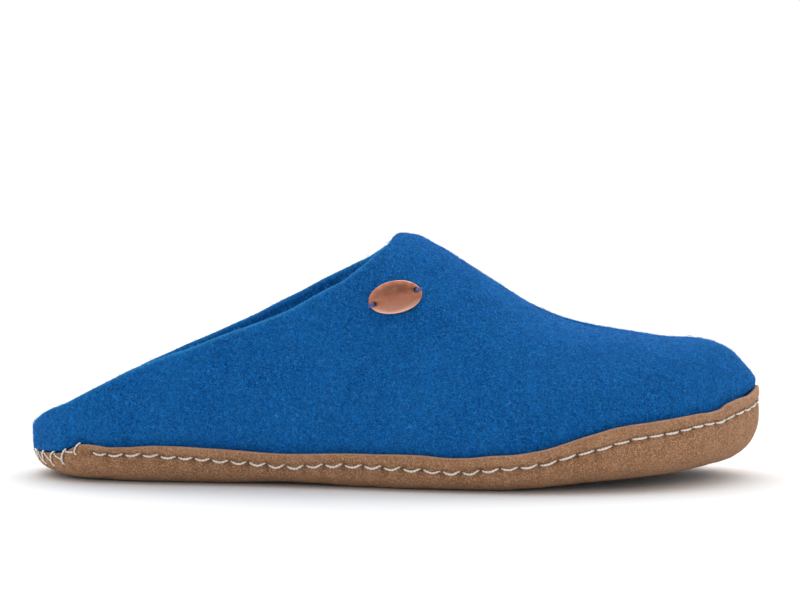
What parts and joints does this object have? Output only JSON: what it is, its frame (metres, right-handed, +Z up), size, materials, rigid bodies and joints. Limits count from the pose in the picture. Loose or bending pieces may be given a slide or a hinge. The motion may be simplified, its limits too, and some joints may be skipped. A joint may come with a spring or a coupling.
{
  "type": "slipper",
  "caption": "Low-backed felt slipper for the right foot: seamless wool felt upper, soft suede sole turned up and stitched round it, footbed inside and an oval metal badge on the outer side.",
  "frame": {"origin": "on the floor, under the middle of the slipper's length and width", "axes": "+X towards the toe, +Y towards the inner side of the foot, +Z up"},
  "size_m": [0.2838, 0.103, 0.0948],
  "materials": {
    "felt": "matte",
    "suede": "matte",
    "footbed": "matte",
    "badge_metal": "brushed"
  },
  "bodies": {
    "root": {"upper": "felt", "outsole": "suede", "insole": "footbed", "badge": "badge_metal"}
  },
  "joints": []
}
